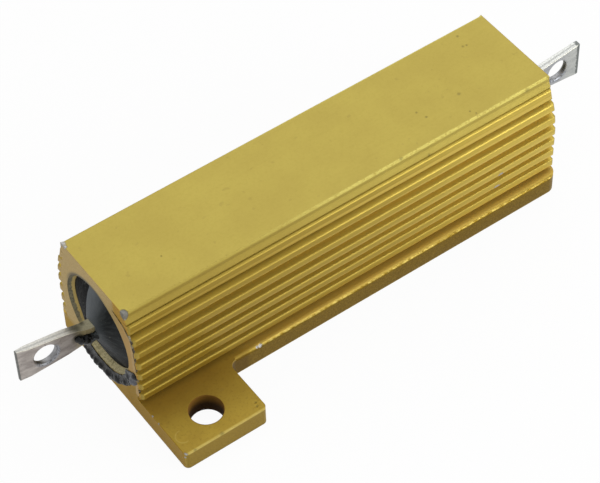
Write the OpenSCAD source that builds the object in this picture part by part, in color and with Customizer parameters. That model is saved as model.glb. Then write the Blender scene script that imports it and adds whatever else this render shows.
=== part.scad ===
// Aluminium housed wirewound power resistor, 50 W size, for bolting to a chassis.
// +X runs along the body, +Z is up and the mounting face lies on z = 0 under the centre.

/* [Housing] */
// Length of the extruded body
body_l = 48.4; // [40:0.1:60]
// Height from the mounting face to the top face
body_h = 13.8; // [13.4:0.1:15]
// Width over the tips of the ridges
body_w = 13.6; // [13.2:0.1:15]
// Width of the flat top face
top_w = 10.2; // [9:0.1:11]
// Radius of the shoulders that close in from the sides to the top
shoulder_r = 12.5; // [10:0.1:16]
// Height at which the shoulders begin
shoulder_z = 7.2; // [6:0.1:8]

/* [Flutes] */
// Ridges on each side
ridge_count = 7; // [5:1:7]
// Height of the lowest ridge
ridge_z = 3.15; // [3:0.05:3.4]
// Spacing of the ridges
ridge_pitch = 1.49; // [1.4:0.01:1.52]
// Depth of the grooves between the ridges
groove_depth = 0.7; // [0.4:0.05:0.8]
// Thickness of a ridge at its flat tip
ridge_tip_t = 0.66; // [0.5:0.02:0.8]
// Radius of the two corners of that tip
ridge_tip_r = 0.18; // [0.1:0.02:0.24]
// Thickness of a ridge at its root
ridge_root_t = 0.95; // [0.82:0.01:1.1]
// Thickness of the plain band under the top face
band_t = 1.25; // [1:0.05:1.3]
// How far the lower edge of the plain band flares out
band_flare = 0.42; // [0.2:0.02:0.5]
// Height of that flare
flare_h = 0.6; // [0.3:0.05:0.7]
// Bevel along the top edges
top_bevel = 0.25; // [0.1:0.05:0.3]
// How far the ridges draw in at the ends of the body
end_ease = 0.4; // [0.1:0.05:0.6]
// Length over which they draw in
end_ease_l = 0.35; // [0.1:0.05:0.6]

/* [Base and tabs] */
// Thickness of the base and of the fixing tabs
base_t = 2.2; // [1.8:0.05:2.4]
// Width of the base between the tabs
base_w = 15.2; // [14.4:0.1:16]
// Radius along the upper edges of the base
base_edge_r = 0.4; // [0.1:0.05:0.5]
// Width over both tabs
tab_span = 27.6; // [26:0.1:30]
// Length of each tab along the body
tab_l = 9; // [7:0.1:12]
// Radius of the outer corners of the tabs and of the base
corner_r = 0.5; // [0.3:0.05:1]
// Fillet where a tab meets the base
tab_fillet_r = 0.8; // [0.3:0.05:1.5]
// Distance from the end of the body to the centre of a fixing hole
fix_end_inset = 4.35; // [3.5:0.05:5.5]
// Distance from the side of a tab to the centre of its fixing hole
fix_side_inset = 3.1; // [2.5:0.05:3.6]
// Diameter of the fixing holes
fix_hole_d = 3.3; // [2.8:0.1:4]

/* [Bore] */
// Height of the axis of the bore and of the terminals
axis_z = 7.1; // [6.9:0.05:7.3]
// Radius of the bore
bore_r = 4.78; // [4.4:0.02:5]
// Width of the countersink round each mouth of the bore
sink_w = 0.34; // [0.1:0.02:0.5]
// Depth of the countersink, from the end face to the compound
sink_depth = 0.6; // [0.2:0.05:0.8]

/* [Compound] */
// Height of the shallow cone on each end of the compound
cone_h = 1.25; // [0.8:0.05:1.5]
// Radius of the tip of that cone, round the terminal
cone_tip_r = 1.15; // [1.1:0.05:1.4]

/* [Resistance element] */
// Diameter of the ceramic core
core_d = 5; // [4:0.1:6]
// Length of the ceramic core
core_l = 35; // [30:0.5:38]
// Thickness of the layer of wound wire
winding_t = 0.3; // [0.2:0.05:0.5]
// Wall of the end caps
cap_t = 0.45; // [0.3:0.05:0.6]
// Length of the core that each end cap covers
cap_grip = 3.5; // [2.5:0.1:5]

/* [Terminals] */
// Width of the neck that comes out of the compound
neck_w = 1.2; // [1:0.05:1.4]
// Height of the neck
neck_h = 1.6; // [1.2:0.05:1.8]
// Length of neck that shows beyond the end face
neck_out = 1.5; // [1:0.1:2.5]
// Thickness of the flattened blade
blade_t = 0.8; // [0.5:0.05:1]
// Height of the blade where its shoulders end
blade_root_h = 2.9; // [2:0.1:3.4]
// Length of the shoulders that widen the neck to the blade
shoulder_l = 2; // [1:0.1:3]
// Length of the blade, from the neck to the tip
blade_l = 6.9; // [6:0.1:12]
// Height of the blade at its tip
blade_tip_h = 4.15; // [3.4:0.05:5]
// Distance from the tip to the centre of the wire hole
eye_inset = 2.8; // [2:0.1:3.4]
// Diameter of the wire holes
eye_d = 2.3; // [1.8:0.1:2.5]
// Sideways bend of the near terminal, in degrees
near_bend = 3; // [0:0.5:5]

/* [Hidden] */

$fn = 64;
cut = 1;                                  // overrun of the cutting tools
half_l = body_l / 2;
band_z = body_h - band_t;                 // lower edge of the plain band
core_r = core_d / 2;
cap_r = core_r + cap_t;
cap_end_x = core_l / 2 + cap_t;           // outer face of an end cap
neck_end_x = half_l + neck_out;
tip_x = neck_end_x + blade_l;
face_x = half_l - sink_depth;             // where the compound meets the bore
gold = [0.72, 0.64, 0.31];
tin = [0.74, 0.72, 0.69];

// Half width over the ridge tips at a height.
function side_y(z) = z <= shoulder_z ? body_w / 2
    : body_w / 2 - shoulder_r + sqrt(pow(shoulder_r, 2) - pow(z - shoulder_z, 2));

// Extrudes a section along the body, centred on its length.
module along_x(length) {
    translate([-length / 2, 0, 0]) rotate([90, 0, 90]) linear_extrude(length) children();
}

// Turns a shape drawn along +Z so that it lies along +X on the axis of the bore.
module on_axis() {
    translate([0, 0, axis_z]) rotate([0, 90, 0]) children();
}

// Repeats a shape at both ends, turned half a turn about +Z.
module both_ends() {
    for (turn = [0, 180]) rotate([0, 0, turn]) children();
}

// Section of the solid body below the plain band, without its ridges.
module trunk_section() {
    root_w = body_w - 2 * groove_depth;
    translate([-root_w / 2, 0]) square([root_w, shoulder_z]);
    intersection() {
        translate([-root_w / 2, shoulder_z]) square([root_w, band_z - shoulder_z + cut / 4]);
        translate([shoulder_r - body_w / 2, shoulder_z])
            circle(shoulder_r - groove_depth, $fn = 128);
        translate([body_w / 2 - shoulder_r, shoulder_z])
            circle(shoulder_r - groove_depth, $fn = 128);
    }
}

// Section of one ridge on the +Y side: a tapered root and a flat tip with round corners.
module ridge_section(z) {
    tip_y = side_y(z) - ridge_tip_r;
    corner_z = ridge_tip_t / 2 - ridge_tip_r;
    root_y = side_y(z) - groove_depth - ridge_root_t / 2;
    polygon([[root_y, z - ridge_root_t / 2], [tip_y, z - ridge_tip_t / 2],
             [tip_y, z + ridge_tip_t / 2], [root_y, z + ridge_root_t / 2]]);
    translate([0, z - corner_z]) square([side_y(z), 2 * corner_z]);
    for (side = [-1, 1]) translate([tip_y, z + side * corner_z]) circle(ridge_tip_r, $fn = 24);
}

// Section of the plain band that carries the top face and flares out below it.
module band_section() {
    waist_y = top_w / 2 + top_bevel / 2;
    half = [[0, band_z], [top_w / 2 + band_flare, band_z], [waist_y, band_z + flare_h],
            [waist_y, body_h - top_bevel], [top_w / 2, body_h], [0, body_h]];
    for (side = [0, 1]) mirror([side, 0]) polygon(half);
}

// Section of the base strip, with rounded upper edges.
module base_section() {
    edge_y = base_w / 2 - base_edge_r;
    translate([-base_w / 2, 0]) square([base_w, base_t - base_edge_r]);
    translate([-edge_y, 0]) square([2 * edge_y, base_t]);
    for (side = [-1, 1]) translate([side * edge_y, base_t - base_edge_r])
        circle(base_edge_r, $fn = 32);
}

// Section of the body above the base, with Y across and Z up.
module body_section() {
    trunk_section();
    band_section();
    for (side = [0, 1]) mirror([side, 0])
        for (i = [0 : ridge_count - 1]) ridge_section(ridge_z + i * ridge_pitch);
}

// Outline just clear of the ridge tips and the band, or drawn in for the end faces.
module trim_section(draw_in, top) {
    slack = ridge_tip_r / 3;
    side = [for (z = [0, shoulder_z, (shoulder_z + band_z) / 2, band_z])
            [side_y(z) + slack - draw_in, z]];
    upper = [top_w / 2 + band_flare + slack - draw_in, top];
    half = concat([[0, 0]], side, [upper, [0, top]]);
    for (way = [0, 1]) mirror([way, 0]) polygon(half);
}

// Solid that the body is trimmed to, so that the edges of its ends are eased.
module trim() {
    hull() {
        along_x(body_l - 2 * end_ease_l) trim_section(0, body_h);
        along_x(body_l) trim_section(end_ease, body_h - top_bevel);
    }
}

// One fixing tab in plan, on the -X, -Y corner.
module tab_plan() {
    tab_d = (tab_span - base_w) / 2;
    translate([-half_l, -tab_span / 2]) {
        translate([0, corner_r]) square([tab_l, tab_d]);
        translate([corner_r, 0]) square([tab_l - 2 * corner_r, 2 * corner_r]);
        for (x = [corner_r, tab_l - corner_r]) translate([x, corner_r]) circle(corner_r, $fn = 32);
        translate([tab_l, tab_d]) difference() {
            translate([-tab_fillet_r, -tab_fillet_r]) square(2 * tab_fillet_r);
            translate([tab_fillet_r, -tab_fillet_r]) circle(tab_fillet_r, $fn = 32);
        }
    }
}

// Tool that rounds the upright corner of the base at +X, -Y.
module base_corner_tool() {
    translate([half_l - corner_r, -base_w / 2 + corner_r, -cut])
        difference() {
            translate([0, -2 * corner_r, 0]) cube([2 * corner_r, 2 * corner_r, base_t + cut]);
            cylinder(h = base_t + cut, r = corner_r, $fn = 32);
        }
}

// Tool for the bore, with a countersink at each mouth.
module bore_tool() {
    on_axis() cylinder(h = body_l + 2 * cut, r = bore_r, center = true);
    both_ends() on_axis() translate([0, 0, face_x])
        cylinder(h = sink_depth, r1 = bore_r, r2 = bore_r + sink_w);
}

module housing() {
    color(gold) difference() {
        union() {
            intersection() {
                along_x(body_l) body_section();
                trim();
            }
            along_x(body_l) base_section();
            both_ends() linear_extrude(base_t) tab_plan();
        }
        bore_tool();
        both_ends() {
            base_corner_tool();
            translate([fix_end_inset - half_l, fix_side_inset - tab_span / 2, -cut])
                cylinder(h = base_t + 2 * cut, d = fix_hole_d, $fn = 48);
        }
    }
}

// Moulded compound that fills the bore round the element.
module moulding() {
    color([0.2, 0.21, 0.23]) difference() {
        union() {
            on_axis() cylinder(h = 2 * face_x, r = bore_r, center = true);
            both_ends() on_axis() translate([0, 0, face_x])
                cylinder(h = cone_h, r1 = bore_r, r2 = cone_tip_r);
        }
        on_axis() {
            cylinder(h = core_l - 2 * cap_grip + cut, r = core_r + winding_t, center = true);
            for (side = [-1, 1]) translate([0, 0, side * (cap_end_x - (cap_grip + cap_t) / 2)])
                cylinder(h = cap_grip + cap_t, r = cap_r, center = true);
        }
        both_ends() neck();
    }
}

module ceramic_core() {
    color([0.92, 0.9, 0.85]) on_axis() cylinder(h = core_l, r = core_r, center = true);
}

// One layer of close-wound wire between the end caps.
module resistance_winding() {
    color([0.62, 0.58, 0.52]) on_axis() difference() {
        cylinder(h = core_l - 2 * cap_grip, r = core_r + winding_t, center = true);
        cylinder(h = core_l, r = core_r, center = true);
    }
}

// Pressed metal cap on the +X end of the core.
module end_cap() {
    color([0.78, 0.77, 0.74]) on_axis() difference() {
        translate([0, 0, core_l / 2 - cap_grip]) cylinder(h = cap_grip + cap_t, r = cap_r);
        cylinder(h = core_l, r = core_r, center = true);
    }
}

// Square neck of the +X terminal, from the end cap to the blade.
module neck() {
    translate([cap_end_x, -neck_w / 2, axis_z - neck_h / 2])
        cube([neck_end_x - cap_end_x, neck_w, neck_h]);
}

// Flattened blade of the +X terminal, with its wire hole.
module blade() {
    translate([0, blade_t / 2, axis_z]) rotate([90, 0, 0]) linear_extrude(blade_t) difference() {
        polygon([[neck_end_x - blade_t, -neck_h / 2], [neck_end_x, -neck_h / 2],
                 [neck_end_x + shoulder_l, -blade_root_h / 2], [tip_x, -blade_tip_h / 2],
                 [tip_x, blade_tip_h / 2], [neck_end_x + shoulder_l, blade_root_h / 2],
                 [neck_end_x, neck_h / 2], [neck_end_x - blade_t, neck_h / 2]]);
        translate([tip_x - eye_inset, 0]) circle(d = eye_d, $fn = 48);
    }
}

// The +X terminal, its blade bent sideways about the end of the neck.
module terminal(bend) {
    color(tin) {
        neck();
        translate([neck_end_x, 0, 0]) rotate([0, 0, bend]) translate([-neck_end_x, 0, 0]) blade();
    }
}

module end_cap_far() { end_cap(); }
module end_cap_near() { rotate([0, 0, 180]) end_cap(); }
module terminal_far() { terminal(0); }
module terminal_near() { rotate([0, 0, 180]) terminal(-near_bend); }

housing();
moulding();
ceramic_core();
resistance_winding();
end_cap_near();
end_cap_far();
terminal_near();
terminal_far();
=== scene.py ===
"""Looks for an aluminium housed power resistor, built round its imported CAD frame."""
import math

import bpy
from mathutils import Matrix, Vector


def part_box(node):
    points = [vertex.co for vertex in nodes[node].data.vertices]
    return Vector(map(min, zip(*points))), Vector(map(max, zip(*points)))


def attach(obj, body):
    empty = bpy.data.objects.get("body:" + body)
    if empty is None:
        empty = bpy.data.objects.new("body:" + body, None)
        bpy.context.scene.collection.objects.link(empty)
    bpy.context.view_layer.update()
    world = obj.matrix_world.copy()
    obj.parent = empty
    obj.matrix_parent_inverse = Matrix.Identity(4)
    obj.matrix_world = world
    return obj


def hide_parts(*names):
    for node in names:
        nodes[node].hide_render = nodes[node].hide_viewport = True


MM = 0.001
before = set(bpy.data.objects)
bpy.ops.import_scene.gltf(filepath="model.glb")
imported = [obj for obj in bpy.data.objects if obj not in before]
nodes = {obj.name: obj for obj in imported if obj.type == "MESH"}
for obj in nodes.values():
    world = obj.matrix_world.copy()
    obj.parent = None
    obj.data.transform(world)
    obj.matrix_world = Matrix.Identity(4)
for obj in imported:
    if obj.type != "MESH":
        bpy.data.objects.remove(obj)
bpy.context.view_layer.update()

# ---- sizes in millimetres: the boxes come from the frame, the rest repeats the CAD's values ----

_, shell_hi = (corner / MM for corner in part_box("housing"))
end_x, tab_y, top_z = shell_hi

# bore and its countersunk mouths
cone_lo, cone_hi = (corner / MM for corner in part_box("moulding"))
bore_r = (cone_hi.y - cone_lo.y) / 2
axis_z = (cone_hi.z + cone_lo.z) / 2
sink_w, wall_depth = 0.34, 0.6
mouth_r = bore_r + sink_w
wall_x = end_x - wall_depth

# base strip, tabs and fixing holes
base_t = 2.2
strip_y = 7.6
tab_inner_x = end_x - 9
hole_at_x, hole_at_y = end_x - 4.35, tab_y - 3.1
fix_hole_r = 1.65

# half widths at the top and at the ridge tips, shoulder, lower edge of the plain band, ridges
top_y, side_y = 5.1, 6.8
shoulder_z, shoulder_r = 7.2, 12.5
band_z = 12.5
ridge_count, ridge_gap, first_ridge = 7, 1.49, 3.15
last_ridge = first_ridge + (ridge_count - 1) * ridge_gap
ease_l, ease_y = 0.35, 0.4

# terminals: neck, blade and eye
blade_lo, blade_hi = (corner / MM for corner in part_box("terminal_far"))
neck_start_x, blade_tip_x = blade_lo.x, blade_hi.x
neck_end_x = end_x + 1.5
eye_x, eye_r = blade_tip_x - 2.8, 1.15
near_bend = math.radians(3)


# ---- shader maths ----


class Value:
    """A socket of a finish, so that shader maths reads as plain expressions."""

    def __init__(self, finish, socket):
        self.finish, self.socket = finish, socket

    def maths(self, operation, *values):
        return self.finish.add("Math", {"operation": operation}, dict(enumerate(values)))

    def __add__(self, other):
        return self.maths("ADD", self, other)

    def __sub__(self, other):
        return self.maths("SUBTRACT", self, other)

    def __mul__(self, other):
        return self.maths("MULTIPLY", self, other)

    def __truediv__(self, other):
        return self.maths("DIVIDE", self, other)

    def __pow__(self, other):
        return self.maths("POWER", self, other)

    def __rsub__(self, other):
        return self.maths("SUBTRACT", other, self)

    __radd__, __rmul__ = __add__, __mul__

    def __abs__(self):
        return self.maths("ABSOLUTE", self)

    def most(self, other):
        return self.maths("MAXIMUM", self, other)

    def rise(self, low, high):
        """0 below low, 1 above high and smooth between, or the other way round if low is the higher."""
        settings = {"interpolation_type": "SMOOTHSTEP", "clamp": True}
        if low > high:
            return 1 - self.rise(high, low)
        return self.finish.add("MapRange", settings, {"Value": self, "From Min": low, "From Max": high})


class Finish:
    """A node material for one finish of the resistor, with its Object coordinates in millimetres."""

    def __init__(self, name, **shader):
        self.material = bpy.data.materials.new(name)
        self.material.use_nodes = True
        self.tree = self.material.node_tree
        self.tree.nodes.clear()
        output = self.tree.nodes.new("ShaderNodeOutputMaterial")
        self.shader = self.tree.nodes.new("ShaderNodeBsdfPrincipled")
        for name, value in shader.items():
            self.shader.inputs[name.replace("_", " ")].default_value = value
        self.tree.links.new(self.shader.outputs[0], output.inputs[0])
        coords = self.add("TexCoord", out="Object")
        self.place = self.add("VectorMath", {"operation": "SCALE"}, {0: coords, "Scale": 1 / MM})
        self.x, self.y, self.z = self.split(self.place)
        height = self.z - axis_z
        self.reach = (self.y * self.y + height * height) ** 0.5
        self.turn = self.add("Math", {"operation": "ARCTAN2"}, {0: self.y, 1: height})
        self.ragged = self.noise(self.place, 2.6, 3.0)

    def add(self, kind, settings=None, values=None, out=0):
        """Adds a node of any kind: its settings first, then its values or links."""
        node = self.tree.nodes.new("ShaderNode" + kind)
        for name, value in (settings or {}).items():
            setattr(node, name, value)
        for name, value in (values or {}).items():
            if isinstance(value, Value):
                self.tree.links.new(value.socket, node.inputs[name])
            else:
                node.inputs[name].default_value = value
        return Value(self, node.outputs[out])

    def split(self, vector):
        node = self.tree.nodes.new("ShaderNodeSeparateXYZ")
        self.tree.links.new(vector.socket, node.inputs[0])
        return (Value(self, s) for s in node.outputs)

    def point(self, x, y, z):
        return self.add("CombineXYZ", None, {0: x, 1: y, 2: z})

    def noise(self, vector, scale, detail=2.0, rough=0.5):
        values = {"Vector": vector, "Scale": scale, "Detail": detail, "Roughness": rough}
        return self.add("TexNoise", None, values)

    def stretched(self, sx, sy, sz):
        """The coordinates drawn out, for grain that runs along a piece."""
        return self.add("VectorMath", {"operation": "MULTIPLY"}, {0: self.place, 1: (sx, sy, sz)})

    def spot(self, centre, radius, soft=0.3, stretch=(1, 1, 1), torn=1.3):
        """A mask round one point, longer along an axis by its stretch, with a torn or smooth outline."""
        away = self.add("VectorMath", {"operation": "SUBTRACT"}, {0: self.place, 1: centre})
        away = self.add("VectorMath", {"operation": "DIVIDE"}, {0: away, 1: stretch})
        length = self.add("VectorMath", {"operation": "LENGTH"}, {0: away}, out="Value")
        return (length + (self.ragged - 0.5) * radius * torn).rise(radius * (1 + soft), radius * (1 - soft))

    def reach_from(self, centre, radius, width):
        """A mask for a thin ring round a point in plan."""
        dx, dy = self.x - centre[0], self.y - centre[1]
        off = abs((dx * dx + dy * dy) ** 0.5 - radius)
        return off.rise(width, width * 0.3)

    def spots(self, marks, soft=0.3):
        """One mask for several marks, each given as x, y, z and a radius."""
        found = None
        for x, y, z, radius in marks:
            mark = self.spot((x, y, z), radius, soft)
            found = mark if found is None else found.most(mark)
        return found

    def mix(self, share, first, second):
        """Colours mixed by a share."""
        return self.add("Mix", {"data_type": "RGBA"}, {0: share, 6: first, 7: second}, out=2)

    def facing(self, direction):
        """How squarely the surface faces a direction or its opposite, from 0 to 1."""
        normal = self.add("NewGeometry", out="Normal")
        turned = self.add("VectorMath", {"operation": "DOT_PRODUCT"}, {0: normal, 1: direction}, "Value")
        return abs(turned)

    def rounding(self, radius):
        """The surface normal as if the sharp edges had this radius in millimetres."""
        return self.add("Bevel", {"samples": 6}, {"Radius": radius * MM})

    def set(self, name, value):
        self.tree.links.new(value.socket, self.shader.inputs[name])

    def bump(self, height, depth, under=None):
        """Height in millimetres times depth, as a normal for the shader."""
        values = {"Height": height, "Distance": depth * MM, "Strength": 1.0}
        if under is not None:
            values["Normal"] = under
        return self.add("Bump", None, values)


def rgb(r, g, b):
    """A shader colour from the 0 to 255 values it should show."""
    shown = [c / 255 for c in (r, g, b)]
    return (*[c / 12.92 if c <= 0.04045 else ((c + 0.055) / 1.055) ** 2.4 for c in shown], 1.0)


# ---- finishes ----


def tips_at(rise):
    """How far out the ridge tips reach at a rise above the shoulder's start, as a number or a socket."""
    return side_y - shoulder_r + (shoulder_r ** 2 - rise * rise) ** 0.5


class GoldFinish(Finish):
    """The housing's finish, with the grains and masks that its areas share."""

    def __init__(self):
        super().__init__("gold_anodised_aluminium", Specular_IOR_Level=0.3)
        self.wide, self.high = abs(self.x), abs(self.y)
        self.die_lines = self.noise(self.stretched(0.03, 4.0, 4.0), 1.0, 4.0, 0.7)
        self.cloud = self.noise(self.place, 0.22, 3.0, 0.5)
        self.grain = self.noise(self.place, 9.0, 3.0, 0.7)
        self.pits = self.noise(self.place, 3.6, 4.0, 0.6)

        self.near = self.x.rise(0.5, -0.5)
        self.end_face = self.wide.rise(end_x - 0.06, end_x - 0.02)
        self.mouth_wall = self.wide.rise(wall_x - 0.03, wall_x) * self.reach.rise(bore_r - 0.2, bore_r - 0.1)
        self.mouth_wall = self.mouth_wall * self.reach.rise(mouth_r + 0.02, mouth_r - 0.01)
        self.above_base = self.z.rise(base_t + 0.1, base_t + 0.3)
        self.flank = self.above_base * self.high.rise(top_y - 0.3, top_y)
        self.ridged = self.flank * self.z.rise(band_z + 0.08, band_z)
        self.ridged = self.ridged * self.wide.rise(end_x - 0.06, end_x - 0.3)

        self.in_base = self.z.rise(base_t + 0.12, base_t + 0.04)
        self.base_side = self.z.rise(base_t - 0.1, base_t - 0.25)
        self.above_underside = self.z.rise(0.02, 0.12)
        self.by_strip = self.high.rise(strip_y + 2.6, strip_y + 2.0) * self.above_underside
        self.strip_side = self.by_strip * self.base_side
        self.tab_top = self.in_base * self.z.rise(base_t - 0.1, base_t - 0.04)
        # x * y is above 0 in the two quarters of the housing that carry a tab
        self.toward_tab = self.x * self.y
        self.off_tab = 1 - self.toward_tab.rise(84, 98)

        across, along = self.wide - hole_at_x, self.high - hole_at_y
        from_hole = across * across + along * along
        self.drilled = from_hole.rise((fix_hole_r + 0.07) ** 2, (fix_hole_r + 0.01) ** 2)
        self.drilled = self.drilled * self.toward_tab.rise(0, 20)


def plain_gold(g):
    """Satin gold of the plain faces, with faint die lines and blotches."""
    colour = g.mix(g.cloud.rise(0.25, 0.75), rgb(182, 164, 76), rgb(176, 157, 72))
    colour = g.mix(g.die_lines.rise(0.5, 0.72) * 0.12, colour, rgb(164, 143, 62))
    return g.mix(g.pits.rise(0.45, 0.65) * 0.22, colour, rgb(166, 148, 62))


def ridge_gold(g, colour):
    """Gold of the ridges, with painted highlights on their upper and lower corners, painted light in the
    grooves and under the last ridge, and painted shade on their flat tips.
    """
    tips = tips_at((g.z - shoulder_z).most(0))
    # painted light: the grooves get a brighter gold where they lie in shade
    groove_painted_light = (tips - g.high).rise(0.2, 0.6) * g.above_base
    groove_painted_light = groove_painted_light * g.z.rise(band_z + 0.1, band_z) * g.high.rise(top_y - 0.1, top_y + 0.1)
    from_ridge = g.add(
        "Math", {"operation": "WRAP"}, {0: g.z - first_ridge, 1: ridge_gap / 2, 2: -ridge_gap / 2})
    # painted highlights on the upper and lower corners of each ridge's tip
    upper_corner_highlight = g.ridged * from_ridge.rise(0.12, 0.22) * (1 - groove_painted_light)
    lower_corner_highlight = g.ridged * from_ridge.rise(-0.5, -0.42) * from_ridge.rise(-0.2, -0.3) * (1 - groove_painted_light)
    # painted shade on the flat tips that face sideways, less of it towards the far end
    flat_tip_shade = g.ridged * g.facing((0, 1, 0)).rise(0.9, 0.98) * (1 - 0.7 * g.x.rise(2, 20))
    from_last = g.z - last_ridge
    # painted light on the downward-facing under-slope of the last ridge
    under_last_painted_light = g.ridged * from_last.rise(-0.81, -0.73) * from_last.rise(-0.31, -0.43)

    streaks = g.die_lines.rise(0.3, 0.7)
    colour = g.mix(g.ridged, colour, g.mix(streaks, rgb(208, 184, 80), rgb(196, 170, 68)))
    colour = g.mix(flat_tip_shade, colour, g.mix(streaks, rgb(178, 154, 60), rgb(166, 141, 50)))
    colour = g.mix(upper_corner_highlight * 0.12, colour, rgb(230, 208, 106))
    colour = g.mix(lower_corner_highlight * from_last.rise(-0.79, -0.89) * 0.4, colour, rgb(226, 196, 98))
    colour = g.mix(under_last_painted_light, colour, rgb(206, 180, 84))
    return g.mix(groove_painted_light, colour, rgb(214, 185, 82))


def near_end_shade_and_top_highlight(g, colour):
    """Painted shade on the flanks, darker towards the near end, and a painted highlight along the rounded
    top edges, fading out towards the near end.
    """
    # painted shade on the flanks, darker towards the near end
    near_end_painted_shade = g.flank * g.z.rise(top_z - 0.05, top_z - 0.35) * g.x.rise(14, -20)
    # a painted highlight along the top edges, patchy and fading out towards the near end
    top_edge_highlight = g.high.rise(top_y - 0.13, top_y - 0.04) * g.z.rise(top_z - 0.3, top_z - 0.2)
    top_edge_highlight = top_edge_highlight * g.pits.rise(0.3, 0.55) * g.x.rise(-15, 4)
    colour = g.mix(near_end_painted_shade * 0.46, colour, rgb(138, 108, 26))
    return g.mix(top_edge_highlight * 0.72, colour, rgb(214, 202, 108))


def base_gold(g, colour):
    """Gold of the base and tabs, with painted shade on their sides, in the corners by the tabs and on the
    tab tops close to the body, and a painted highlight along the strip's top edge.
    """
    from_tab = g.wide - tab_inner_x
    # painted shade in the corner where the strip meets the tab
    tab_corner_shade = from_tab.rise(-2.6, -1.9) * from_tab.rise(-0.2, -0.35) * g.toward_tab.rise(20, 60)
    tab_corner_shade = tab_corner_shade * g.by_strip * g.z.rise(base_t - 0.05, base_t - 0.15)
    # painted shade on the sides of the tabs
    tab_side_shade = g.high.rise(tab_y - 0.2, tab_y - 0.05) * g.base_side
    # a painted highlight along the strip's top edge
    strip_top_highlight = g.high.rise(strip_y + 0.15, strip_y) * g.z.rise(base_t - 0.18, base_t - 0.08) * g.off_tab
    # painted shade on the tab tops close to the body
    by_body_shade = g.tab_top * g.high.rise(tab_y - 2.3, side_y)

    foot = g.mix(g.cloud.rise(0.3, 0.7), rgb(178, 151, 58), rgb(164, 136, 50))
    foot = g.mix(g.pits.rise(0.5, 0.75) * 0.45, foot, rgb(132, 104, 40))
    # painted shade on the strip's side
    strip_side_shade = g.mix(g.grain.rise(0.35, 0.65), rgb(134, 107, 28), rgb(106, 81, 16))
    foot = g.mix(g.strip_side * 0.9, foot, strip_side_shade)
    foot = g.mix(tab_corner_shade * 0.6, foot, rgb(98, 72, 16))
    foot = g.mix(tab_side_shade, foot, g.mix(g.grain.rise(0.3, 0.7), rgb(155, 128, 37), rgb(137, 111, 29)))
    foot = g.mix(strip_top_highlight, foot, rgb(208, 178, 80))
    colour = g.mix(g.in_base, colour, foot)
    return g.mix(by_body_shade * 0.35, colour, rgb(146, 104, 40))


def sawn_gold(g):
    """The sawn end faces: pale, golder near the base and where the near end is rolled over the saw burr."""
    toward_front = -1 * g.y
    burr_line = g.z - 11.15 - (g.y + 5.9) * 0.5625
    rolled = burr_line.rise(-0.08, 0.04) * g.y.rise(-3.2, -3.6)
    rolled = g.near * rolled.most(g.y.rise(-6.28, -6.34) * g.z.rise(2.6, 3.0))

    colour = g.mix(g.grain.rise(0.35, 0.65), rgb(196, 171, 112), rgb(182, 156, 98))
    colour = g.mix(g.z.rise(2.8, 1.6), colour, rgb(174, 139, 36))
    colour = g.mix(g.near * toward_front.rise(3.0, 5.0), colour, rgb(188, 152, 86))
    colour = g.mix(g.z.rise(5.4, 3.4) * toward_front.rise(3.0, 4.6), colour, rgb(166, 131, 30))
    colour = g.mix(rolled, colour, g.mix(g.grain.rise(0.3, 0.7), rgb(198, 160, 62), rgb(176, 134, 42)))
    return g.mix(g.pits.rise(0.58, 0.72) * 0.4, colour, rgb(134, 114, 70))


def machined_mouth(g):
    """The turned wall of each mouth, with a grey coat of compound on the +Y side of the near one."""
    depth = (end_x - g.wide) / wall_depth
    coat_side = g.near * g.turn.rise(0.05, 0.35) * g.turn.rise(2.45, 2.2)
    coated = coat_side * (depth + (g.ragged - 0.5) * 0.5).rise(0.62, 0.48)
    ticks = g.noise(g.point(g.turn * 14.0, g.reach, depth * 0.3), 1.0, 2.0, 0.5)
    speckled = g.noise(g.place, 6.5, 4.0, 0.8).rise(0.5, 0.6)

    colour = g.mix(g.grain.rise(0.3, 0.7), rgb(214, 204, 162), rgb(188, 176, 130))
    colour = g.mix(ticks.rise(0.56, 0.7) * 0.4, colour, rgb(104, 92, 62))
    colour = g.mix(speckled * 0.55, colour, rgb(118, 108, 76))
    colour = g.mix(coat_side * 0.85, colour, rgb(206, 180, 104))
    coat = g.mix(g.pits.rise(0.42, 0.6), rgb(138, 131, 104), rgb(104, 102, 84))
    coat = g.mix(g.grain.rise(0.62, 0.7) * 0.7, coat, rgb(206, 204, 180))
    return g.mix(coated, colour, coat)


def rim_highlights_and_mouth_dark(g, colour):
    """Painted highlights along the upper edges of the tabs and of the strip, and darker grey over the top of
    the near mouth.
    """
    crown = g.near * g.end_face * g.turn.rise(-0.6, -0.1) * g.turn.rise(1.5, 0.7)
    # darker grey over the top of the near mouth
    dark_over_mouth = crown * g.reach.rise(mouth_r + 0.45, mouth_r + 0.05)
    # painted highlights along the upper edges of the tabs and of the strip
    tab_edge_highlight = g.high.rise(tab_y - 0.22, tab_y - 0.1) * g.z.rise(base_t - 0.25, base_t - 0.1)
    tab_edge_highlight = tab_edge_highlight * g.in_base * g.cloud.rise(0.2, 0.45)
    strip_edge_highlight = g.high.rise(strip_y - 0.2, strip_y - 0.12) * g.high.rise(strip_y + 0.08, strip_y)
    strip_edge_highlight = strip_edge_highlight * g.z.rise(base_t - 0.34, base_t - 0.22) * g.in_base * g.off_tab
    strip_edge_highlight = strip_edge_highlight * g.noise(g.place, 1.9, 5.0, 0.75).rise(0.42, 0.62)
    colour = g.mix(dark_over_mouth * 0.85, colour, rgb(74, 74, 68))
    colour = g.mix(tab_edge_highlight * 0.7, colour, rgb(216, 196, 108))
    return g.mix(strip_edge_highlight * 0.7, colour, rgb(216, 194, 104))


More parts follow.
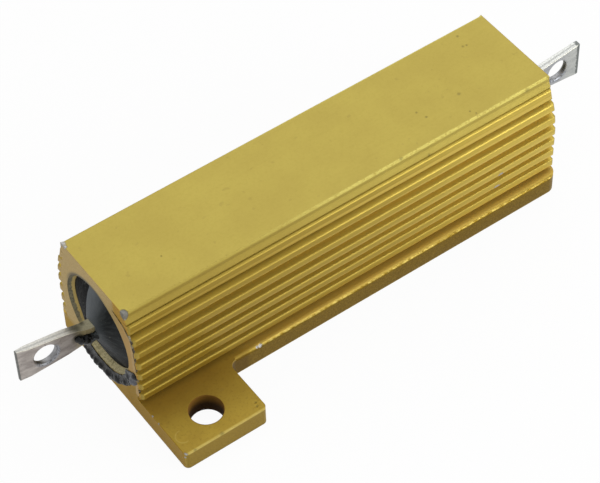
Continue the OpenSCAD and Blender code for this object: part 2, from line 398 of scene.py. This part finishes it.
def gold_anodised():
    """Satin gold anodising on an extrusion, with bare aluminium where it is chipped."""
    g = GoldFinish()
    colour = near_end_shade_and_top_highlight(g, ridge_gold(g, plain_gold(g)))
    colour = base_gold(g, colour)
    colour = g.mix(g.end_face, colour, sawn_gold(g))
    bored_and_shaded = g.mix(g.grain, rgb(122, 84, 22), rgb(146, 106, 36))
    # painted shade, darker towards the bottom of the fixing holes
    bored_and_shaded = g.mix(g.z.rise(1.9, 0.8), bored_and_shaded, rgb(62, 38, 6))
    colour = g.mix(g.drilled, colour, bored_and_shaded)
    colour = g.mix(g.mouth_wall, colour, machined_mouth(g))
    colour = rim_highlights_and_mouth_dark(g, colour)

    chips = g.spots((
        (-24.1, 4.95, 13.75, 0.3), (-24.15, 4.5, 13.75, 0.2), (-11.62, -7.6, 2.1, 0.24),
        (-11.95, -7.6, 2.12, 0.18), (17.46, -6.75, 5.6, 0.36), (17.0, -6.7, 4.2, 0.3),
        (17.3, -6.75, 4.2, 0.14), (-24.14, -13.7, 2.15, 0.22), (-24.2, -13.6, 1.6, 0.14),
        (-24.2, -9.4, 2.15, 0.12), (-24.2, -8.4, 2.17, 0.1)))
    dent = g.spot((-24.05, -5.1, 13.6), 0.47, 0.16, (0.78, 1.1, 1.2), 0.25)
    specks = g.spots((
        (21.53, -5.4, 13.6, 0.24), (6.47, -5.15, 13.75, 0.18), (11.58, -2.37, 13.8, 0.11),
        (11.19, -1.35, 13.8, 0.1), (15.32, -4.25, 13.8, 0.08), (15.65, -4.78, 13.8, 0.08),
        (20.09, 2.91, 13.8, 0.12), (20.48, 2.82, 13.8, 0.08), (20.55, 4.27, 13.8, 0.12),
        (15.88, -1.84, 13.8, 0.16), (-15.8, -12.7, 2.2, 0.1), (-15.9, -13.1, 2.2, 0.12),
        (-20.2, -13.75, 2.2, 0.2), (-23.16, -13.8, 2.2, 0.16), (9.54, -5.5, 12.6, 0.14),
        (-17.8, -1.6, 13.8, 0.08), (-22.6, -6.5, 10.3, 0.16), (-24.2, -4.9, 1.2, 0.12)), 0.8)
    dust = g.noise(g.place, 1.7, 2.0, 0.3).rise(0.7, 0.8)
    scored_arc = g.reach_from((-23.2, -11.9), 0.7, 0.09) * g.tab_top * g.x.rise(-22.9, -23.3)
    colour = g.mix(chips, colour, g.mix(g.grain.rise(0.3, 0.7), rgb(204, 202, 196), rgb(150, 148, 146)))
    colour = g.mix(dent, colour, g.mix(g.grain.rise(0.3, 0.7), rgb(140, 138, 130), rgb(116, 114, 108)))
    colour = g.mix(specks * 0.5, colour, rgb(108, 98, 50))
    colour = g.mix(dust * 0.22, colour, rgb(138, 118, 58))
    colour = g.mix(scored_arc * 0.3, colour, rgb(208, 188, 104))
    g.set("Base Color", colour)

    g.set("Metallic", 0.5 + 0.4 * g.strip_side * g.in_base - 0.4 * g.drilled)
    rough = 0.40 + 0.10 * g.grain.rise(0.3, 0.7) - 0.06 * g.ridged + 0.12 * g.end_face
    g.set("Roughness", rough + 0.1 * g.mouth_wall + 0.45 * g.drilled + 0.1 * dent)
    height = g.die_lines * 0.7 + g.grain * 0.25 - chips * 4.0 - specks * 2.0 - dent * 6.0
    height = height + g.end_face * (g.grain * 0.8 + g.pits * 0.8) + g.in_base * g.pits * 0.8
    g.set("Normal", g.bump(height, 0.014, g.rounding(0.12)))
    return g.material


def burr_metal():
    """Sawn gold face of the burr, its torn edge mixed of bare grey metal and painted dark shade."""
    f = Finish("sawn_burr", Metallic=0.5, Roughness=0.5)
    grain = f.noise(f.place, 9.0, 3.0, 0.7)
    torn = f.noise(f.place, 1.9, 3.0, 0.6)
    edge_bare_and_shaded = f.facing((1, 0, 0)).rise(0.98, 0.9)
    colour = f.mix(grain.rise(0.35, 0.65), rgb(200, 166, 98), rgb(180, 146, 80))
    # the burr's torn edge mixes bare grey metal with painted dark shade
    colour = f.mix(edge_bare_and_shaded, colour, f.mix(torn.rise(0.42, 0.58), rgb(58, 50, 38), rgb(134, 124, 100)))
    f.set("Base Color", colour)
    f.set("Normal", f.bump(grain * 0.6 + torn, 0.03))
    return f.material


def dark_compound():
    """Glossy near-black moulding compound with a smooth sector lightened as a painted reflection, a rough
    side darkened as painted shade, painted shade low towards -Y, dull scrapes and dust.
    """
    f = Finish("dark_moulding_compound", IOR=1.18, Specular_IOR_Level=0.5)
    x, y, z = f.x, f.y, f.z
    near = x.rise(0.5, -0.5)
    rays = f.noise(f.point(f.turn * 5.0, f.reach * 0.3, 0.0), 2.0, 4.0, 0.65)
    grain = f.noise(f.place, 7.0, 3.0, 0.6)
    lumps = f.noise(f.place, 1.1, 3.0, 0.55)
    seam_y, seam_z, seam_curve = 1.46, 10.3, 0.108
    seam = y - seam_y + (z - seam_z) * (z - seam_z) * seam_curve
    # a sector that is smoother and lighter grey, the lighter grey being a painted reflection
    smooth = near * seam.rise(0.06, -0.06) * seam.rise(-3.4, -0.4) * z.rise(5.0, 7.6)
    # the other side is rougher and darker, the darker colour being painted shade
    rough_shaded_side = near * seam.rise(-0.06, 0.06)

    colour = f.mix(rays.rise(0.4, 0.72), rgb(20, 23, 24), rgb(46, 50, 50))
    colour = f.mix(rough_shaded_side, colour, f.mix(lumps.rise(0.4, 0.6), rgb(3, 4, 4), rgb(16, 18, 19)))
    colour = f.mix(smooth, colour, f.mix(lumps, rgb(108, 113, 116), rgb(84, 89, 92)))
    scrapes = f.noise(f.stretched(1.0, 3.2, 0.7), 1.4, 3.0, 0.6).rise(0.6, 0.68) * rough_shaded_side
    dust = f.noise(f.place, 3.0, 2.0, 0.4).rise(0.68, 0.76) * (1 - smooth)
    colour = f.mix(scrapes * 0.45, colour, rgb(92, 94, 94))
    colour = f.mix(dust * 0.6, colour, rgb(120, 120, 112))
    smear = f.spots(((-24.6, -0.9, 4.6, 0.5), (-24.4, -1.5, 4.2, 0.4), (-24.9, -1.4, 7.4, 0.22)), 0.6)
    colour = f.mix(smear * near * 0.7, colour, rgb(96, 100, 102))
    shade = near * (-1 * y).rise(1.6, 3.6) * z.rise(6.4, 4.4)
    colour = f.mix(shade * 0.55, colour, rgb(5, 6, 7))
    f.set("Base Color", colour)
    f.set("Roughness", 0.34 + 0.22 * grain - 0.06 * smooth + 0.2 * rough_shaded_side)
    height = rays * 0.6 + grain * 0.25 + rough_shaded_side * (lumps * 1.6 + grain * 0.6) - smooth * 0.4
    f.set("Normal", f.bump(height, 0.07))
    return f.material


def squeezed_compound():
    """The same compound where it was squeezed out and dried, blue-grey in patches and over a lump at its
    end.
    """
    f = Finish("squeezed_out_compound", IOR=1.32, Specular_IOR_Level=0.6)
    lumps = f.noise(f.place, 1.6, 4.0, 0.6)
    grain = f.noise(f.place, 6.0, 3.0, 0.6)
    end_lump = f.spot((-24.5, -5.75, 5.0), 0.85, 0.35, (1, 1, 0.8), 0.4)
    colour = f.mix(lumps.rise(0.54, 0.68), rgb(10, 12, 13), rgb(74, 80, 84))
    colour = f.mix(end_lump * 0.85, colour, rgb(98, 100, 107))
    f.set("Base Color", colour)
    f.set("Roughness", 0.1 + 0.3 * grain)
    f.set("Normal", f.bump(lumps * 0.6 + grain * 0.4, 0.08))
    return f.material


class TinFinish(Finish):
    """The terminals' finish, with the grains and masks that its areas share."""

    def __init__(self):
        super().__init__("tinned_terminal_metal", Metallic=0.9)
        self.grain = self.noise(self.place, 8.0, 4.0, 0.65)
        self.smear = self.noise(self.stretched(0.35, 1.0, 1.0), 1.5, 4.0, 0.6)
        self.pits = self.noise(self.place, 3.2, 3.0, 0.6)
        self.wide, self.near = abs(self.x), self.x.rise(0.5, -0.5)
        self.upright = self.facing((0, 0, 1))
        # the faces that look up or down: edges left by the shear on the blades, partly painted light, and
        # the neck's top and bottom, painted light only
        self.sheared_and_lit = self.upright.rise(0.5, 0.8)
        self.across, self.up = self.wide - eye_x, self.z - axis_z
        self.from_eye = (self.across * self.across + self.up * self.up) ** 0.5


def blade_tin(t):
    """Dull mottled sides of the blades and brighter edges left by the shear, partly painted light from
    above, dark along their middle, with painted highlights on their rounded rims.
    """
    near_side = t.mix(t.smear.rise(0.35, 0.68), rgb(190, 183, 177), rgb(158, 150, 145))
    near_side = t.mix(t.wide.rise(27.2, 30.4), t.mix(0.36, near_side, rgb(96, 90, 86)), near_side)
    far_side = t.mix(t.wide.rise(eye_x - 0.6, eye_x + 2.0), rgb(172, 174, 177), rgb(192, 194, 190))
    far_side = t.mix(t.smear.rise(0.4, 0.7) * 0.4, far_side, rgb(150, 154, 154))
    side = t.mix(t.near, far_side, near_side)
    side = t.mix(t.pits.rise(0.6, 0.72) * 0.5, side, rgb(112, 106, 104))

    lean = (t.wide - neck_end_x).most(0) * math.tan(near_bend)
    middle = abs(t.y - t.near * lean).rise(0.14, 0.04)
    edge = t.mix(t.near, rgb(226, 228, 224), rgb(206, 204, 197))
    edge = t.mix(t.grain.rise(0.35, 0.7) * 0.6, edge, rgb(176, 175, 170))
    edge = t.mix(middle * 0.5, edge, rgb(138, 140, 138))
    colour = t.mix(t.sheared_and_lit, side, edge)
    # painted highlights along the blades' rounded rims, away from the eye
    rim_highlight = t.upright.rise(0.2, 0.4) * t.upright.rise(0.92, 0.8) * t.from_eye.rise(1.5, 1.7)
    return t.mix(rim_highlight * 0.75, colour, rgb(240, 236, 216))


def eye_tin(t, colour):
    """The punched eye: a pitted chamfer on its lower side and a dull wall inside."""
    lower_side = (t.across * -0.6 - t.up).rise(-0.5, 0.5)
    chamfer = t.from_eye.rise(1.5, 1.34) * lower_side
    pitted = t.noise(t.place, 5.0, 3.0, 0.7).rise(0.5, 0.6)
    inside = t.from_eye.rise(eye_r + 0.04, eye_r + 0.01)
    far_corner = (1 - t.near) * (t.across + t.up).rise(-0.6, 0.8)
    wall = t.mix(far_corner, rgb(168, 168, 170), rgb(84, 88, 78))
    wall = t.mix(t.near * t.across.rise(-0.3, 0.8), wall, rgb(96, 90, 78))
    colour = t.mix(chamfer * 0.8, colour, t.mix(pitted, rgb(158, 162, 170), rgb(80, 80, 82)))
    return t.mix(inside * 0.8, colour, wall)


def tinned_metal():
    """Tinned copper: bright edges left by the shear, partly painted light, duller mottled faces, stained at
    the near root, where the neck's upper and lower faces are painted lighter.
    """
    t = TinFinish()
    colour = eye_tin(t, blade_tin(t))
    from_tip = t.wide - blade_tip_x
    far_tear = (from_tip + (t.ragged - 0.5) * 0.6).rise(-0.46, -0.34)
    torn_tip = far_tear * (1 - t.near) + t.near * from_tip.rise(-0.16, -0.06)
    colour = t.mix(torn_tip * 0.8, colour, rgb(84, 90, 88))

    root = t.near * t.wide.rise(27.2, 25.9)
    aged = t.mix(t.grain, rgb(196, 182, 138), rgb(150, 136, 96))
    # painted light: the neck's upper and lower faces lighter than its sides
    aged = t.mix(t.sheared_and_lit, aged, t.mix(t.grain, rgb(226, 220, 190), rgb(186, 180, 148)))
    stain = t.spot((-26.6, 0.15, 8.15), 0.62, 0.6, (1.1, 1, 0.6), 0.7)
    stain = stain.most(t.spot((-25.7, 0.5, 7.9), 0.34, 0.6)).most(t.spot((-26.5, -0.5, 7.35), 0.58, 0.5))
    colour = t.mix(root * 0.9, colour, aged)
    colour = t.mix(stain * t.near * 0.72, colour, rgb(78, 74, 54))
    t.set("Base Color", colour)
    t.set("Roughness", 0.36 + 0.22 * t.grain.rise(0.3, 0.7) + 0.2 * root)
    t.set("Normal", t.bump(t.grain * 0.5 + t.smear * 0.6 + t.pits * 0.5, 0.03))
    return t.material


def ceramic():
    """Fired white ceramic of the core."""
    f = Finish("fired_ceramic", Roughness=0.7)
    grain = f.noise(f.place, 7.0, 4.0, 0.6)
    f.set("Base Color", f.mix(grain.rise(0.35, 0.7), rgb(232, 228, 215), rgb(212, 206, 190)))
    f.set("Normal", f.bump(grain, 0.03))
    return f.material


def wound_wire():
    """Close turns of resistance wire."""
    f = Finish("wound_resistance_wire", Metallic=1.0, Roughness=0.35)
    turns = f.add("Math", {"operation": "SINE"}, {0: f.x * (2 * math.pi / 0.4)})
    tint = f.noise(f.stretched(2.0, 0.3, 0.3), 1.0, 3.0)
    f.set("Base Color", f.mix(tint, rgb(160, 152, 142), rgb(112, 102, 92)))
    f.set("Normal", f.bump(turns, 0.08))
    return f.material


def pressed_steel():
    """Bright pressed steel of the end caps."""
    f = Finish("pressed_cap_steel", Metallic=1.0)
    rings = f.noise(f.point(f.x * 4.0, f.reach * 4.0, 0.0), 2.0, 3.0)
    f.set("Base Color", f.mix(rings.rise(0.3, 0.7), rgb(200, 198, 190), rgb(166, 163, 156)))
    f.set("Roughness", 0.3 + 0.2 * rings)
    f.set("Normal", f.bump(rings, 0.02))
    return f.material


# ---- pieces, shaped in millimetres and shrunk to metres when they are done ----


def only(*objects):
    """Selects these objects alone and makes the first one active."""
    bpy.ops.object.select_all(action="DESELECT")
    for obj in objects:
        obj.select_set(True)
    bpy.context.view_layer.objects.active = objects[0]


def started(name):
    """Names the primitive that was just added."""
    piece = bpy.context.object
    piece.name = piece.data.name = name
    return piece


def finished(piece, kind, settings):
    """Adds a modifier to a piece and applies it."""
    only(piece)
    modifier = piece.modifiers.new(kind.lower(), kind)
    for name, value in settings.items():
        setattr(modifier, name, value)
    bpy.ops.object.modifier_apply(modifier=modifier.name)


def placed(piece, material, slot, *replaced):
    """Shrinks a piece to metres, gives it its finish and hides the parts that it stands for; its slot is not
    used.
    """
    only(piece)
    bpy.ops.object.transform_apply(location=True, rotation=True, scale=True)
    piece.scale = (MM, MM, MM)
    bpy.ops.object.transform_apply(location=True, rotation=True, scale=True)
    piece.data.materials.clear()
    piece.data.materials.append(material)
    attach(piece, "root")
    if replaced:
        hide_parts(*replaced)


def drawn_out(piece, x, from_x, y, half_y, half_z):
    """Pulls the end face of a bar out to x, moves it to y and sizes it."""
    bpy.ops.mesh.extrude_region_move(TRANSFORM_OT_translate={"value": (x - from_x, 0, 0)})
    bpy.ops.object.mode_set(mode="OBJECT")
    ends = [v for v in piece.data.vertices if v.select]
    mid_y = sum(v.co.y for v in ends) / len(ends)
    now_y = max(v.co.y for v in ends) - mid_y
    now_z = max(v.co.z for v in ends) - axis_z
    bpy.ops.object.mode_set(mode="EDIT")
    bpy.ops.transform.resize(
        value=(1, half_y / now_y, half_z / now_z), center_override=(x, mid_y, axis_z))
    bpy.ops.transform.translate(value=(0, y - mid_y, 0))


def weigh_edges(piece, keen, weight):
    """Gives each edge sharper than keen degrees the bevel weight of its middle."""
    weights = piece.data.attributes.new("bevel_weight_edge", "FLOAT", "EDGE")
    sides = {}
    for polygon in piece.data.polygons:
        for key in polygon.edge_keys:
            sides.setdefault(key, []).append(polygon.normal)
    for edge in piece.data.edges:
        pair = sides.get(tuple(sorted(edge.vertices)), [])
        if len(pair) == 2 and pair[0].angle(pair[1]) > math.radians(keen):
            ends = [piece.data.vertices[i].co for i in edge.vertices]
            weights.data[edge.index].value = weight((ends[0] + ends[1]) / 2)


def terminal(name, bend, tip_half_y):
    """A square neck hammered out into a flat blade with an eye, at the +X end."""
    neck, high = 0.6, 0.8
    bpy.ops.object.select_all(action="DESELECT")
    bpy.ops.mesh.primitive_plane_add(size=1, rotation=(0, math.pi / 2, 0))
    piece = started(name)
    piece.location = (neck_start_x, 0, axis_z)
    piece.scale = (2 * high, 2 * neck, 1)
    bpy.ops.object.transform_apply(location=True, rotation=True, scale=True)
    bpy.ops.object.mode_set(mode="EDIT")
    bpy.ops.mesh.select_all(action="SELECT")
    last_x = neck_start_x
    # each row is a place along X, half the thickness and half the height there
    outline = (
        (end_x + 0.6, neck, high), (end_x + 1.1, 0.59, 0.83), (neck_end_x + 0.15, 0.52, 0.95),
        (neck_end_x + 0.7, 0.45, 1.13), (neck_end_x + 1.3, 0.42, 1.3),
        (neck_end_x + 2.0, 0.42, 1.45), (eye_x + 1.75, 0.34, 1.94),
        (blade_tip_x - 0.5, tip_half_y + 0.06, 2.02), (blade_tip_x - 0.02, tip_half_y, 2.06))
    for x, half_y, half_z in outline:
        drawn_out(piece, x, last_x, math.tan(bend) * max(0, x - neck_end_x), half_y, half_z)
        last_x = x
    bpy.ops.mesh.select_all(action="SELECT")
    bpy.ops.mesh.normals_make_consistent(inside=False)
    bpy.ops.object.mode_set(mode="OBJECT")

    eye_y = math.tan(bend) * (eye_x - neck_end_x)
    bpy.ops.object.select_all(action="DESELECT")
    bpy.ops.mesh.primitive_cylinder_add(
        vertices=56, radius=eye_r, depth=4, location=(eye_x, eye_y, axis_z),
        rotation=(math.pi / 2, 0, 0))
    drill = started("drill")
    finished(piece, "BOOLEAN", {"operation": "DIFFERENCE", "object": drill, "solver": "EXACT"})
    bpy.data.objects.remove(drill)
    weigh_edges(piece, 40, lambda middle: (
        1.0 if math.hypot(middle.x - eye_x, middle.z - axis_z) < eye_r * 1.03 else 0.24))
    finished(piece, "BEVEL", {"width": 0.25, "segments": 3, "limit_method": "WEIGHT"})
    only(piece)
    bpy.ops.object.shade_smooth_by_angle(angle=math.radians(40))
    finished(piece, "WEIGHTED_NORMAL", {"keep_sharp": True})
    return piece


def turned_about(piece):
    """Turns a piece half a turn about +Z, to the near end."""
    only(piece)
    piece.rotation_euler = (0, 0, math.pi)
    bpy.ops.object.transform_apply(location=True, rotation=True, scale=True)


def lumpy(piece, voxel, smooth, lump_size, lump_height):
    """Melts a rough shape into one soft lumpy skin."""
    finished(piece, "REMESH", {"mode": "VOXEL", "voxel_size": voxel})
    finished(piece, "SMOOTH", {"factor": 0.5, "iterations": smooth})
    lumps = bpy.data.textures.new(piece.name + "_lumps", "CLOUDS")
    lumps.noise_scale = lump_size
    finished(piece, "DISPLACE", {
        "texture": lumps, "strength": lump_height, "mid_level": 0.5, "texture_coords": "GLOBAL"})
    only(piece)
    bpy.ops.object.shade_smooth()


def between(table, at):
    """Reads a table of steps, in a straight line between them."""
    for (low, first), (high, second) in zip(table, table[1:]):
        if at <= high:
            return first + (second - first) * (at - low) / (high - low)
    return table[-1][1]


def ribbon(name, steps, thickness, point):
    """A strip between two edges given by point(share, out), drawn out by a thickness along X."""
    bpy.ops.object.select_all(action="DESELECT")
    bpy.ops.mesh.primitive_circle_add(vertices=2 * steps, radius=1, fill_type="NGON")
    piece = started(name)
    for i, vertex in enumerate(piece.data.vertices):
        out = i < steps
        step = i if out else 2 * steps - 1 - i
        vertex.co = point(step / (steps - 1), out)
    only(piece)
    bpy.ops.object.mode_set(mode="EDIT")
    bpy.ops.mesh.select_all(action="SELECT")
    bpy.ops.mesh.extrude_region_move(TRANSFORM_OT_translate={"value": (thickness, 0, 0)})
    bpy.ops.mesh.select_all(action="SELECT")
    bpy.ops.mesh.normals_make_consistent(inside=False)
    bpy.ops.object.mode_set(mode="OBJECT")
    return piece


def bead(centre, radius, squash):
    """One ball of compound, to be melted into its neighbours."""
    bpy.ops.object.select_all(action="DESELECT")
    bpy.ops.mesh.primitive_ico_sphere_add(
        subdivisions=3, radius=radius, location=centre, scale=squash)
    return started("bead")


def squeezed_out(name):
    """Compound that was squeezed out under the near mouth and dried on the end face."""
    # each row is an angle about the bore, from straight down towards -Y, and a radius
    outer = ((-31, 5.3), (-29, 6.1), (-25, 7.1), (-17, 7.3), (-6, 7.08), (0, 7.04), (7, 7.08), (11, 7.1),
             (15, 6.85), (22, 6.6), (29, 6.41), (38, 6.3), (47, 6.24), (58, 6.3), (68, 6.48),
             (76, 6.55), (81, 6.2))
    inner = ((-31, 5.2), (-26, 5.1), (58, 5.1), (61, 4.86), (68, 4.8), (71, 5.1), (76, 5.5),
             (81, 5.9))
    start, end = outer[0][0], outer[-1][0]
    lowest = 0.04

    def point(share, out):
        angle = start + (end - start) * share
        wave = 0.05 * math.sin(angle * 0.9) + 0.04 * math.sin(angle * 2.3 + 1)
        reach = between(outer if out else inner, angle) + wave * (1 if out else 0.5)
        across, down = math.sin(math.radians(angle)), math.cos(math.radians(angle))
        return -end_x, -reach * across, max(lowest, axis_z - reach * down)

    film = ribbon(name, 90, -0.12, point)
    # each row is y, z and a radius
    beads = ((2.9, 0.85, 0.36), (2.4, 0.72, 0.46), (1.75, 0.66, 0.44), (1.0, 0.72, 0.54),
             (0.2, 0.78, 0.5), (-0.5, 0.84, 0.44), (-1.1, 1.1, 0.56), (-2.0, 1.4, 0.42),
             (-2.7, 1.85, 0.5), (-3.5, 2.3, 0.36), (-4.1, 2.9, 0.42), (-4.9, 3.75, 0.34),
             (-5.7, 4.8, 0.55), (-5.95, 5.5, 0.42), (-4.9, 4.4, 0.34))
    only(film, *(bead((-end_x, y, z), radius, (0.8, 1, 1)) for y, z, radius in beads))
    bpy.ops.object.join()
    lumpy(film, 0.06, 24, 0.8, 0.18)
    return film


def root_residue(name):
    """Compound that dried on the near side and under the neck of the near terminal."""
    # each row is x, y, z and a radius
    beads = ((-24.95, -0.35, 6.55, 0.66), (-25.35, -0.6, 6.75, 0.6), (-25.8, -0.62, 6.85, 0.58),
             (-26.25, -0.58, 7.0, 0.5), (-25.6, -0.5, 6.4, 0.5), (-25.1, 0.1, 6.3, 0.5),
             (-26.6, -0.5, 7.3, 0.36), (-24.75, -0.8, 6.9, 0.5))
    rough = [bead((x, y, z), radius, (1, 0.75, 1)) for x, y, z, radius in beads]
    lump = rough[0]
    lump.name = lump.data.name = name
    only(*rough)
    bpy.ops.object.join()
    lumpy(lump, 0.06, 12, 0.35, 0.16)
    return lump


def eased_points(piece):
    """The vertices that the CAD eases at the ends: those of the free sides, and those of the top."""
    sides, top = set(), set()
    for polygon in piece.data.polygons:
        middle, lean = polygon.center / MM, polygon.normal
        off_mouth = math.hypot(middle.y, middle.z - axis_z) > mouth_r + 0.1
        at_end = abs(middle.x) > end_x - ease_l - 0.01 and middle.z > base_t
        if at_end and off_mouth and 0.2 < abs(lean.x) < 0.97:
            if abs(lean.y) > lean.z and middle.x * middle.y < 0:
                sides.update(polygon.vertices)
            if lean.z > 0.3:
                top.update(polygon.vertices)
    return sides, top


def out_to_saw_cut(y, z, share):
    """Pulls an eased point of a side out to the saw cut and rounds the last of a ridge's tip."""
    band = ((12.5, 5.6), (12.55, 5.52), (13.15, 5.225), (13.55, 5.225), (13.8, 5.1))
    limit = tips_at(max(0.0, z - shoulder_z)) if z < band_z else between(band, z)
    y = math.copysign(max(abs(y), min(abs(y) + ease_y * share, limit)), y)
    if share > 0.9 and z < band_z and abs(y) > limit - 0.3:
        ridge = first_ridge + ridge_gap * round((z - first_ridge) / ridge_gap)
        y, z = y - math.copysign(0.12, y), ridge + (z - ridge) * 0.72
    return y, z


def lower_corners_dropped(y, z):
    """Drops the lower corner of each ridge's tip, most of all under the last ridge."""
    for i in range(ridge_count):
        ridge = first_ridge + ridge_gap * i
        last = i == ridge_count - 1
        tip_y = 6.15 - (0.6 if i > 4 else 0) - (0.5 if last else 0)
        if abs(y) > tip_y and abs(z - ridge + 0.24) < 0.12 and z > base_t + 0.1:
            z -= 0.48 if last else 0.14
    return z


def square_ended(name):
    """The housing, its ends eased only along the sides where the saw left it so."""
    piece = nodes["housing"].copy()
    piece.data = nodes["housing"].data.copy()
    piece.name = piece.data.name = name
    for key in list(piece.keys()):
        del piece[key]
    piece.parent = None
    bpy.context.scene.collection.objects.link(piece)
    only(piece)
    bpy.ops.object.mode_set(mode="EDIT")
    bpy.ops.mesh.select_all(action="SELECT")
    bpy.ops.mesh.remove_doubles(threshold=1e-7)
    bpy.ops.object.mode_set(mode="OBJECT")
    if piece.data.has_custom_normals:
        bpy.ops.mesh.customdata_custom_splitnormals_clear()

    corner_r, rounder_r = 0.5, 1.1
    sides, top = eased_points(piece)
    for vertex in piece.data.vertices:
        x, y, z = vertex.co / MM
        share = max(0.0, (abs(x) - end_x + ease_l) / ease_l)
        if vertex.index in sides:
            y, z = out_to_saw_cut(y, z, share)
        if vertex.index in top:
            z = min(top_z, z + 0.25 * share)
        z = lower_corners_dropped(y, z)
        along, across = abs(x) - end_x + corner_r, abs(y) - strip_y + corner_r
        on_corner = min(along, across) > -0.01 and abs(math.hypot(along, across) - corner_r) < 0.02
        if x * y < 0 and on_corner:
            x = math.copysign(end_x - rounder_r + along * rounder_r / corner_r, x)
            y = math.copysign(strip_y - rounder_r + across * rounder_r / corner_r, y)
        vertex.co = (x * MM, y * MM, z * MM)
    bpy.ops.object.shade_smooth_by_angle(angle=math.radians(10))
    return piece


def saw_burr(name):
    """The thin lip that the saw turned over the ends of the grooves on the near end."""
    # rows of z and y for its outer line, and of z and how proud it stands
    outer = ((2.9, -6.3), (4.3, -6.36), (5.15, -6.34), (6.1, -6.3), (6.83, -6.27), (8.33, -6.3),
             (9.68, -6.27), (10.68, -6.08), (11.24, -5.8), (11.58, -5.34), (11.92, -4.88),
             (12.15, -4.41), (12.28, -3.97), (12.42, -3.53))
    proud = ((2.9, 0.008), (6.4, 0.012), (8.0, 0.07), (11.0, 0.12), (12.42, 0.07))
    foot, head = outer[0][0], outer[-1][0]
    inset, buried = 0.5, 0.006

    def point(share, out):
        z = foot + (head - foot) * share
        wave = 0.05 * math.sin(z * 5.1) + 0.03 * math.sin(z * 11.7)
        y = between(outer, z) + (wave if out else inset)
        return -end_x - (between(proud, z) if out else buried), y, z

    piece = ribbon(name, 60, 0.24, point)
    finished(piece, "BEVEL", {
        "width": 0.03, "segments": 2, "limit_method": "ANGLE", "angle_limit": math.radians(50)})
    only(piece)
    bpy.ops.object.shade_smooth_by_angle(angle=math.radians(35))
    return piece


gold = gold_anodised()
shell = square_ended("fluted_shell")
shell.data.materials.clear()
shell.data.materials.append(gold)
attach(shell, "root")
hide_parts("housing")
placed(saw_burr("saw_burr"), burr_metal(), "gold_anodised")

tin = tinned_metal()
near_terminal = terminal("near_terminal", -near_bend, 0.18)
turned_about(near_terminal)
placed(near_terminal, tin, "tinned", "terminal_near")
far_terminal = terminal("far_terminal", 0.0, 0.3)
placed(far_terminal, tin, "tinned", "terminal_far")

dried = squeezed_compound()
placed(squeezed_out("squeezed_out_compound"), dried, "compound")
placed(root_residue("terminal_root_residue"), dried, "compound")

end_cap = pressed_steel()
finishes = {
    "housing": gold,
    "moulding": dark_compound(),
    "ceramic_core": ceramic(),
    "resistance_winding": wound_wire(),
    "end_cap_near": end_cap,
    "end_cap_far": end_cap,
}
for name, material in finishes.items():
    for slot in nodes[name].material_slots:
        slot.material = material

# ---- camera, floor and light ----

camera = bpy.data.objects.new("camera", bpy.data.cameras.new("camera"))
bpy.context.scene.collection.objects.link(camera)
camera.location = Vector((-83.50, -119.88, 175.02)) * MM
camera.rotation_euler = [math.radians(turn) for turn in (40.1138, 1.2234, -35.7883)]
camera.data.lens = 140.87
camera.data.sensor_width = 36
camera.data.clip_start = 0.01
bpy.context.scene.camera = camera

bpy.ops.object.select_all(action="DESELECT")
just_under = -0.02 * MM
bpy.ops.mesh.primitive_plane_add(size=3, location=(0, 0, just_under))
floor = bpy.context.object
floor.name = "floor"


def pale_floor():
    """A pale floor that shows white, keeps a faint shadow and is clear from below."""
    material = bpy.data.materials.new("pale_floor")
    material.use_nodes = True
    tree = material.node_tree
    tree.nodes.clear()
    output = tree.nodes.new("ShaderNodeOutputMaterial")
    matt = tree.nodes.new("ShaderNodeBsdfDiffuse")
    matt.inputs["Color"].default_value = (0.86, 0.86, 0.86, 1)
    glow = tree.nodes.new("ShaderNodeEmission")
    clear = tree.nodes.new("ShaderNodeBsdfTransparent")
    ray = tree.nodes.new("ShaderNodeLightPath")
    side = tree.nodes.new("ShaderNodeNewGeometry")
    white_to_camera, white_in_mirrors = 0.95, 0.5

    mirrored = tree.nodes.new("ShaderNodeMath")
    mirrored.operation = "MULTIPLY"
    mirrored.inputs[1].default_value = white_in_mirrors
    tree.links.new(ray.outputs["Is Glossy Ray"], mirrored.inputs[0])
    white = tree.nodes.new("ShaderNodeMath")
    white.operation = "MULTIPLY_ADD"
    white.inputs[1].default_value = white_to_camera
    tree.links.new(ray.outputs["Is Camera Ray"], white.inputs[0])
    tree.links.new(mirrored.outputs[0], white.inputs[2])

    def mixed(share, first, second):
        mix = tree.nodes.new("ShaderNodeMixShader")
        for socket, source in zip(mix.inputs, (share, first, second)):
            tree.links.new(source, socket)
        return mix.outputs[0]

    from_above = mixed(white.outputs[0], matt.outputs[0], glow.outputs[0])
    surface = mixed(side.outputs["Backfacing"], from_above, clear.outputs[0])
    tree.links.new(surface, output.inputs[0])
    return material


floor.data.materials.append(pale_floor())


def lamp(name, place, size, power, aim=(0, 0, 0.006)):
    """A soft oblong lamp at a place in metres, aimed at the part and unseen by the camera."""
    light = bpy.data.lights.new(name, "AREA")
    light.shape = "RECTANGLE"
    light.size, light.size_y = size
    light.energy = power
    obj = bpy.data.objects.new(name, light)
    bpy.context.scene.collection.objects.link(obj)
    obj.location = place
    obj.rotation_euler = (Vector(place) - Vector(aim)).to_track_quat("Z", "Y").to_euler()
    obj.visible_camera = False


lamp("overhead", (0.36, 0.53, 0.76), (1.4, 1.0), 4.4)
lamp("front", (0.42, -0.64, 0.30), (0.7, 0.5), 1.5)
lamp("beside", (0.11, -0.12, 0.08), (0.10, 0.07), 0.085, (0.022, -0.01, 0.005))

world = bpy.data.worlds.new("studio")
world.use_nodes = True
bpy.context.scene.world = world
world.node_tree.nodes["Background"].inputs["Color"].default_value = (0.8, 0.8, 0.8, 1)
world.node_tree.nodes["Background"].inputs["Strength"].default_value = 0.7

bpy.context.scene.view_settings.view_transform = "Standard"
